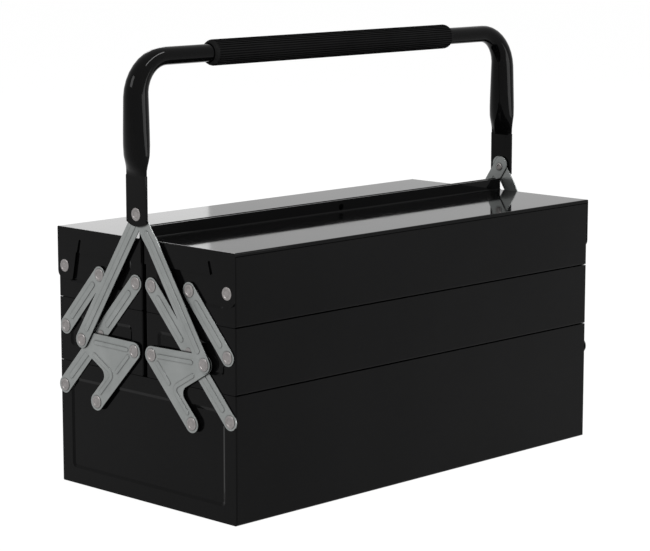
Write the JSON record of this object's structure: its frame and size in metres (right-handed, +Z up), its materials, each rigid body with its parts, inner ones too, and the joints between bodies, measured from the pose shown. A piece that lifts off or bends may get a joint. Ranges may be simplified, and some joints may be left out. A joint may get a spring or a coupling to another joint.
{
  "type": "cantilever tool box",
  "caption": "Cantilever tool box: trays that fold out sideways on riveted cranks and arms, lids on the top trays, and a swinging carry handle.",
  "frame": {"origin": "middle of the underside", "axes": "+X along the length, +Z up, -Y to the front long side"},
  "size_m": [0.4348, 0.2004, 0.3469],
  "materials": {
    "box_paint": "gloss",
    "link_zinc": "satin zinc plating",
    "rivet_steel": "satin",
    "handle_paint": "gloss",
    "grip_plastic": "matte, finely ribbed"
  },
  "bodies": {
    "base": {"base_tray": "box_paint", "base_end_left": "box_paint", "base_end_right": "box_paint", "base_rivets": "rivet_steel"},
    "crank_front": {"crank_front_left": "link_zinc", "crank_front_right": "link_zinc"},
    "long_arms_front": {"long_arm_front_left": "link_zinc", "long_arm_front_right": "link_zinc"},
    "mid_front": {"mid_tray_front": "box_paint", "mid_end_front_left": "box_paint", "mid_end_front_right": "box_paint", "mid_rivets_front": "rivet_steel"},
    "short_arms_front": {"short_arm_front_left": "link_zinc", "short_arm_front_right": "link_zinc"},
    "top_front": {"top_tray_front": "box_paint", "top_end_front_left": "box_paint", "top_end_front_right": "box_paint", "top_rivets_front": "rivet_steel"},
    "lid_front": {"lid_front": "box_paint"},
    "handle_arms_front": {"handle_arm_front_left": "link_zinc", "handle_arm_front_right": "link_zinc", "handle_arm_rivets_front": "rivet_steel"},
    "crank_back": {"crank_back_left": "link_zinc", "crank_back_right": "link_zinc"},
    "long_arms_back": {"long_arm_back_left": "link_zinc", "long_arm_back_right": "link_zinc"},
    "mid_back": {"mid_tray_back": "box_paint", "mid_end_back_left": "box_paint", "mid_end_back_right": "box_paint", "mid_rivets_back": "rivet_steel"},
    "short_arms_back": {"short_arm_back_left": "link_zinc", "short_arm_back_right": "link_zinc"},
    "top_back": {"top_tray_back": "box_paint", "top_end_back_left": "box_paint", "top_end_back_right": "box_paint", "top_rivets_back": "rivet_steel"},
    "lid_back": {"lid_back": "box_paint"},
    "handle_arms_back": {"handle_arm_back_left": "link_zinc", "handle_arm_back_right": "link_zinc", "handle_arm_rivets_back": "rivet_steel"},
    "handle_pins": {"handle_pivot_rivets": "rivet_steel"},
    "handle": {"handle_tube": "handle_paint", "handle_grip": "grip_plastic"}
  },
  "joints": [
    {"name": "tray_fold", "type": "hinge", "parent": "base", "child": "crank_front", "pos_m": [0, -0.054, 0.0699], "axis": [1, 0, 0], "range_deg": [0, 83]},
    {"name": "long_arm_pivot_front", "type": "hinge", "parent": "base", "child": "long_arms_front", "pos_m": [0, -0.0937, 0.0774], "axis": [1, 0, 0], "range_deg": [0, 83.01]},
    {"name": "mid_tray_pivot_front", "type": "hinge", "parent": "crank_front", "child": "mid_front", "pos_m": [0, -0.0099, 0.1156], "axis": [1, 0, 0], "range_deg": [-83.01, 0]},
    {"name": "short_arm_pivot_front", "type": "hinge", "parent": "mid_front", "child": "short_arms_front", "pos_m": [0, -0.0914, 0.1246], "axis": [1, 0, 0], "range_deg": [0, 83.01]},
    {"name": "top_tray_pivot_front", "type": "hinge", "parent": "long_arms_front", "child": "top_front", "pos_m": [0, -0.0089, 0.1675], "axis": [1, 0, 0], "range_deg": [-83.01, 0]},
    {"name": "lid_front_pivot", "type": "hinge", "parent": "top_front", "child": "lid_front", "pos_m": [0, -0.0915, 0.1718], "axis": [1, 0, 0], "range_deg": [0, 100]},
    {"name": "crank_pivot_back", "type": "hinge", "parent": "base", "child": "crank_back", "pos_m": [0, 0.054, 0.0699], "axis": [-1, 0, 0], "range_deg": [0, 83.01]},
    {"name": "long_arm_pivot_back", "type": "hinge", "parent": "base", "child": "long_arms_back", "pos_m": [0, 0.0937, 0.0774], "axis": [-1, 0, 0], "range_deg": [0, 83.01]},
    {"name": "mid_tray_pivot_back", "type": "hinge", "parent": "crank_back", "child": "mid_back", "pos_m": [0, 0.0099, 0.1156], "axis": [-1, 0, 0], "range_deg": [-83.01, 0]},
    {"name": "short_arm_pivot_back", "type": "hinge", "parent": "mid_back", "child": "short_arms_back", "pos_m": [0, 0.0914, 0.1246], "axis": [-1, 0, 0], "range_deg": [0, 83.01]},
    {"name": "top_tray_pivot_back", "type": "hinge", "parent": "long_arms_back", "child": "top_back", "pos_m": [0, 0.0089, 0.1675], "axis": [-1, 0, 0], "range_deg": [-83.01, 0]},
    {"name": "lid_back_pivot", "type": "hinge", "parent": "top_back", "child": "lid_back", "pos_m": [0, 0.0915, 0.1718], "axis": [-1, 0, 0], "range_deg": [0, 100]},
    {"name": "handle_drop", "type": "slide", "parent": "base", "child": "handle_pins", "axis": [0, 0, 1], "range_m": [-0.09, 0]},
    {"name": "handle_arm_pivot_front", "type": "hinge", "parent": "handle_pins", "child": "handle_arms_front", "pos_m": [0, 0, 0.2211], "axis": [-1, 0, 0], "range_deg": [0, 22]},
    {"name": "handle_arm_pivot_back", "type": "hinge", "parent": "handle_pins", "child": "handle_arms_back", "pos_m": [0, 0, 0.2211], "axis": [1, 0, 0], "range_deg": [0, 22]},
    {"name": "handle_swing", "type": "hinge", "parent": "handle_pins", "child": "handle", "pos_m": [0, 0, 0.2211], "axis": [1, 0, 0], "range_deg": [-70, 70]}
  ],
  "couplings": [
    {"joint": "long_arm_pivot_front", "follows": "tray_fold", "ratio": 1},
    {"joint": "mid_tray_pivot_front", "follows": "tray_fold", "ratio": -1},
    {"joint": "short_arm_pivot_front", "follows": "tray_fold", "ratio": 1},
    {"joint": "top_tray_pivot_front", "follows": "tray_fold", "ratio": -1},
    {"joint": "crank_pivot_back", "follows": "tray_fold", "ratio": 1},
    {"joint": "long_arm_pivot_back", "follows": "tray_fold", "ratio": 1},
    {"joint": "mid_tray_pivot_back", "follows": "tray_fold", "ratio": -1},
    {"joint": "short_arm_pivot_back", "follows": "tray_fold", "ratio": 1},
    {"joint": "top_tray_pivot_back", "follows": "tray_fold", "ratio": -1},
    {"joint": "handle_drop", "follows": "tray_fold", "m_per_rad": -0.060968},
    {"joint": "handle_arm_pivot_front", "follows": "tray_fold", "ratio": 0.2557},
    {"joint": "handle_arm_pivot_back", "follows": "tray_fold", "ratio": 0.2557}
  ]
}
